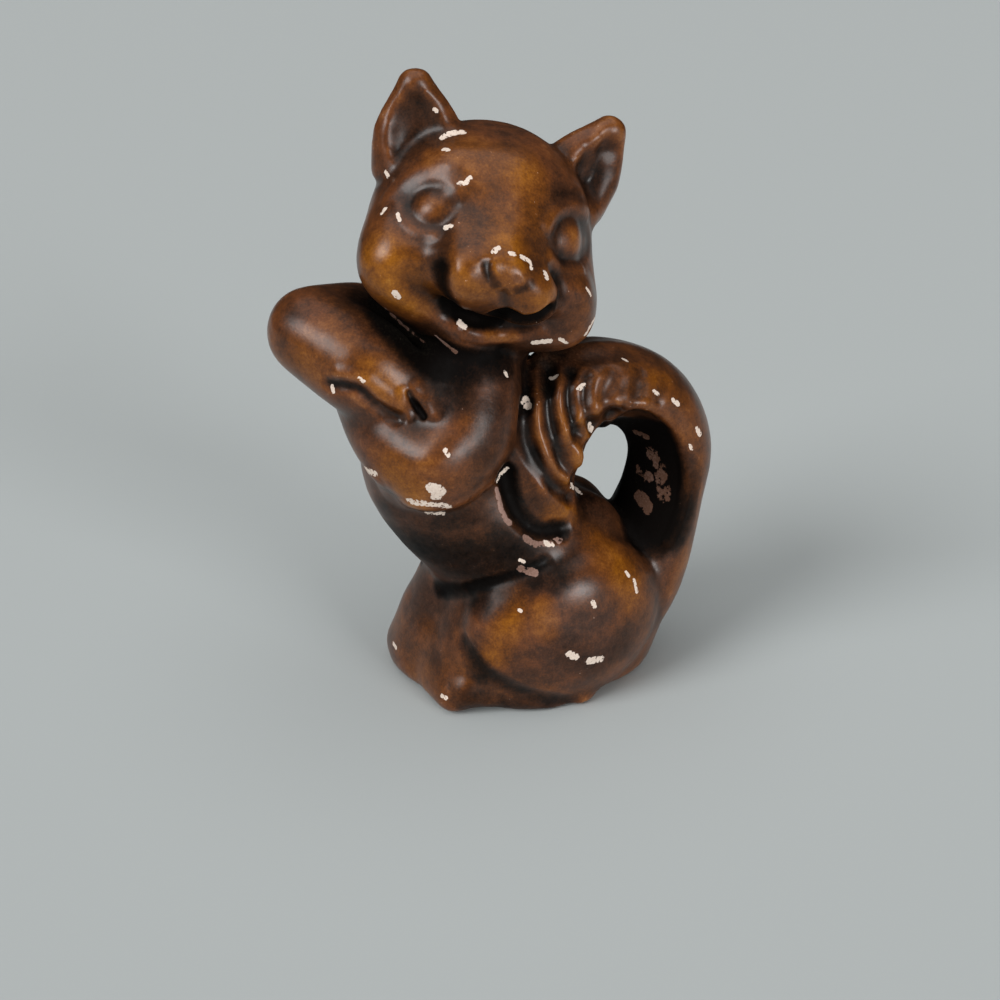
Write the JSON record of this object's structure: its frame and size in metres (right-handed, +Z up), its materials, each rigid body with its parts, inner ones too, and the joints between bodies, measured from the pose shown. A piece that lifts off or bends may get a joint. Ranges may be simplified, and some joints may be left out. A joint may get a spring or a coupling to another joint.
{
  "type": "chipmunk figurine",
  "caption": "Seated chipmunk ornament in stained earthenware, head turned over one shoulder, forearm raised, broad tail looped up behind; stands free on a flat base.",
  "frame": {"origin": "middle of the figure's bounding box, on the ground plane that its seat and feet stand on", "axes": "+Z up, -Y the way the body and feet face, +X the animal's left, where the face looks"},
  "size_m": [0.0474, 0.083, 0.1161],
  "materials": {
    "dark_stain": "dark brown wood stain left in the hollows, satin",
    "rubbed_stain": "brown wood stain rubbed golden on the high points, satin",
    "worn_stain": "brown wood stain, mottled and chipped to pale clay, satin"
  },
  "bodies": {
    "root": {"torso": "dark_stain", "head": "rubbed_stain", "left_ear": "worn_stain", "right_ear": "worn_stain", "left_arm": "rubbed_stain", "right_arm": "rubbed_stain", "left_haunch": "worn_stain", "right_haunch": "worn_stain", "left_foot": "worn_stain", "right_foot": "worn_stain", "tail": "dark_stain"}
  },
  "joints": []
}
